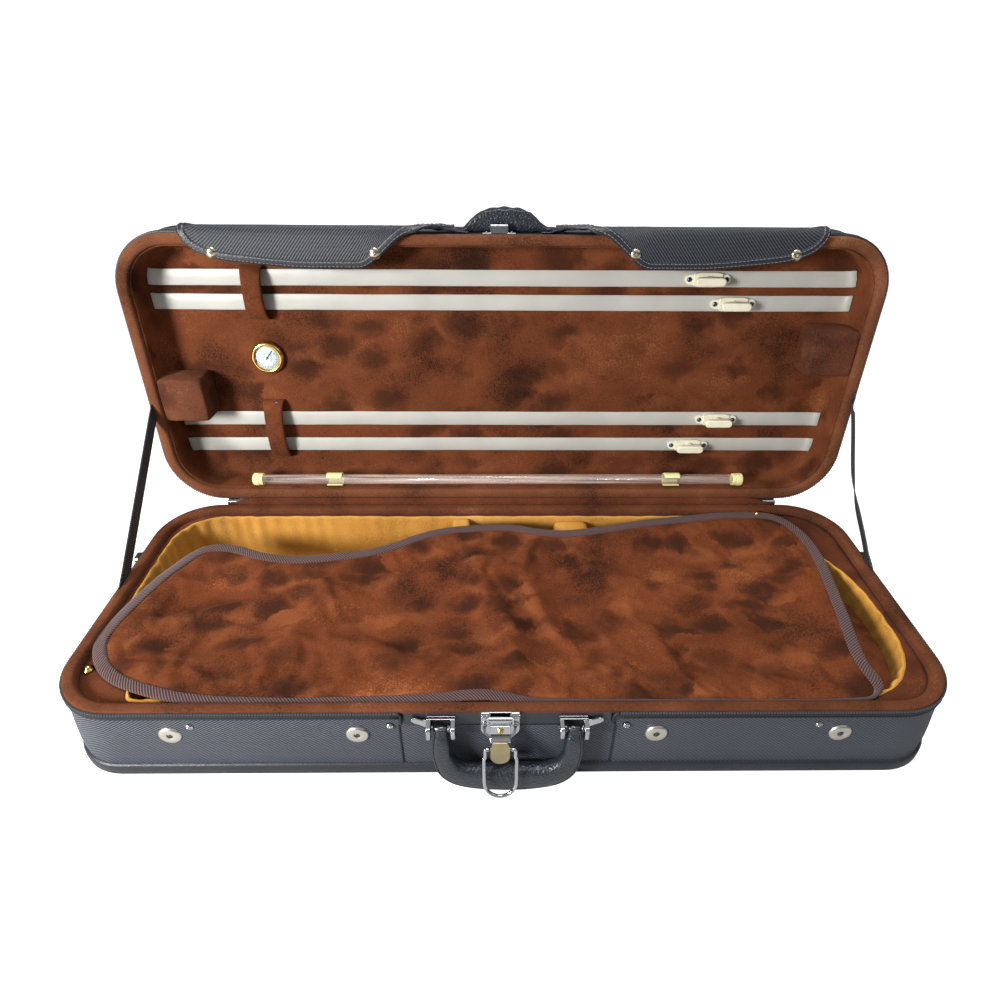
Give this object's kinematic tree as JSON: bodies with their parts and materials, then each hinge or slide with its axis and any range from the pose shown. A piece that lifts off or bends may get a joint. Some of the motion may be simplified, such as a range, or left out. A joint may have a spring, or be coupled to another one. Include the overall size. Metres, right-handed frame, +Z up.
{
  "type": "violin case",
  "caption": "Oblong violin case standing open: padded tray, hinged lid with bow fittings, carrying handle, draw latch, rain flap and zip.",
  "frame": {"origin": "centre of the flat underside of the base", "axes": "+X along the case, -Y the latch side, +Y the hinge side, +Z up; rest pose is the lid open at its stop"},
  "size_m": [0.8052, 0.413, 0.412],
  "materials": {
    "twill": "diagonal nylon twill over plywood",
    "leather": "grained black leatherette",
    "zip": "coil zip tape",
    "velvet": "brown plush, mottled nap",
    "gold_velvet": "gold plush",
    "satin": "satin ribbon",
    "webbing": "woven nylon webbing",
    "chrome": "polished",
    "champagne": "satin champagne plating",
    "brass": "polished gold bezel",
    "ivory": "moulded ivory plastic",
    "clear": "clear tube",
    "wax": "pale yellow plastic"
  },
  "bodies": {
    "base": {"base_bottom": "leather", "base_wall": "twill", "base_rim": "velvet", "base_zip_tape": "zip", "base_padding": "velvet", "cavity_lining": "gold_velvet", "cavity_floor": "gold_velvet", "blanket": "velvet", "neck_support": "gold_velvet", "body_bolster": "gold_velvet", "handle_bracket_left": "chrome", "handle_bracket_right": "chrome", "latch_plate": "chrome", "snap_disc_1": "chrome", "snap_disc_2": "chrome", "snap_disc_3": "chrome", "snap_disc_4": "chrome", "hinge_leaf_base_left": "chrome", "hinge_leaf_base_right": "chrome", "lid_stay_left": "webbing", "lid_stay_right": "webbing"},
    "lid": {"lid_top": "leather", "lid_wall": "twill", "lid_rim": "velvet", "lid_zip_tape": "zip", "lid_lining": "velvet", "bow_ribbon_1": "satin", "bow_ribbon_2": "satin", "bow_ribbon_3": "satin", "bow_ribbon_4": "satin", "tip_strap_upper": "velvet", "tip_strap_lower": "velvet", "bow_clip_1": "ivory", "bow_clip_2": "ivory", "bow_clip_3": "ivory", "bow_clip_4": "ivory", "bow_block_left": "velvet", "bow_block_right": "velvet", "hygrometer": "brass", "tube_clip_left": "wax", "tube_clip_right": "wax", "latch_keeper": "chrome", "lid_grip": "leather", "flap_root_left": "twill", "flap_root_right": "twill", "hinge_leaf_lid_left": "chrome", "hinge_leaf_lid_right": "chrome"},
    "handle": {"handle_grip": "leather"},
    "latch_lever": {"latch_lever": "champagne"},
    "latch_loop": {"latch_loop": "chrome"},
    "zip_pull_left": {"zip_pull_left": "chrome"},
    "zip_pull_right": {"zip_pull_right": "chrome"},
    "flap_left": {"rain_flap_left": "leather"},
    "flap_right": {"rain_flap_right": "leather"},
    "string_tube": {"string_tube": "clear"},
    "tube_cap": {"tube_cap": "wax"},
    "spinner_1": {"bow_spinner_1": "ivory"},
    "spinner_2": {"bow_spinner_2": "ivory"},
    "spinner_3": {"bow_spinner_3": "ivory"},
    "spinner_4": {"bow_spinner_4": "ivory"}
  },
  "joints": [
    {"name": "lid_hinge", "type": "hinge", "parent": "base", "child": "lid", "pos_m": [0, 0.155, 0.0865], "axis": [1, 0, 0], "range_deg": [0, 94], "deforming": ["lid_stay_left", "lid_stay_right"]},
    {"name": "flap_left_fold", "type": "hinge", "parent": "lid", "child": "flap_left", "pos_m": [0, 0.17074, 0.39766], "axis": [1, 0, 0], "range_deg": [-94, 0]},
    {"name": "flap_right_fold", "type": "hinge", "parent": "lid", "child": "flap_right", "pos_m": [0, 0.17074, 0.39766], "axis": [1, 0, 0], "range_deg": [-94, 0]},
    {"name": "handle_swing", "type": "hinge", "parent": "base", "child": "handle", "pos_m": [0, -0.16, 0.075], "axis": [-1, 0, 0], "range_deg": [0, 90]},
    {"name": "latch_lever_turn", "type": "hinge", "parent": "base", "child": "latch_lever", "pos_m": [-0.006, -0.156, 0.081], "axis": [1, 0, 0], "range_deg": [-100, 0]},
    {"name": "latch_loop_swing", "type": "hinge", "parent": "latch_lever", "child": "latch_loop", "pos_m": [-0.006, -0.1655, 0.0535], "axis": [-1, 0, 0], "range_deg": [0, 149]},
    {"name": "zip_pull_left_slide", "type": "slide", "parent": "base", "child": "zip_pull_left", "axis": [0, -1, 0], "range_m": [0, 0.13]},
    {"name": "zip_pull_right_slide", "type": "slide", "parent": "base", "child": "zip_pull_right", "axis": [0, -1, 0], "range_m": [0, 0.13]},
    {"name": "string_tube_lift", "type": "slide", "parent": "lid", "child": "string_tube", "axis": [0, 0.0698, 0.9976], "range_m": [0, 0.018]},
    {"name": "tube_cap_pull", "type": "slide", "parent": "string_tube", "child": "tube_cap", "axis": [1, 0, 0], "range_m": [0, 0.01]},
    {"name": "bow_spinner_1_turn", "type": "hinge", "parent": "lid", "child": "spinner_1", "pos_m": [0.219, 0.20129, 0.33989], "axis": [0, -0.9976, 0.0698], "range_deg": [0, 90]},
    {"name": "bow_spinner_2_turn", "type": "hinge", "parent": "lid", "child": "spinner_2", "pos_m": [0.251, 0.19947, 0.31395], "axis": [0, -0.9976, 0.0698], "range_deg": [0, 90]},
    {"name": "bow_spinner_3_turn", "type": "hinge", "parent": "lid", "child": "spinner_3", "pos_m": [0.256, 0.18992, 0.17729], "axis": [0, -0.9976, 0.0698], "range_deg": [0, 90]},
    {"name": "bow_spinner_4_turn", "type": "hinge", "parent": "lid", "child": "spinner_4", "pos_m": [0.227, 0.18755, 0.14337], "axis": [0, -0.9976, 0.0698], "range_deg": [0, 90]}
  ],
  "couplings": [
    {"joint": "flap_left_fold", "follows": "lid_hinge", "ratio": -1},
    {"joint": "flap_right_fold", "follows": "lid_hinge", "ratio": -1},
    {"joint": "latch_loop_swing", "follows": "handle_swing", "ratio": 1.65}
  ]
}
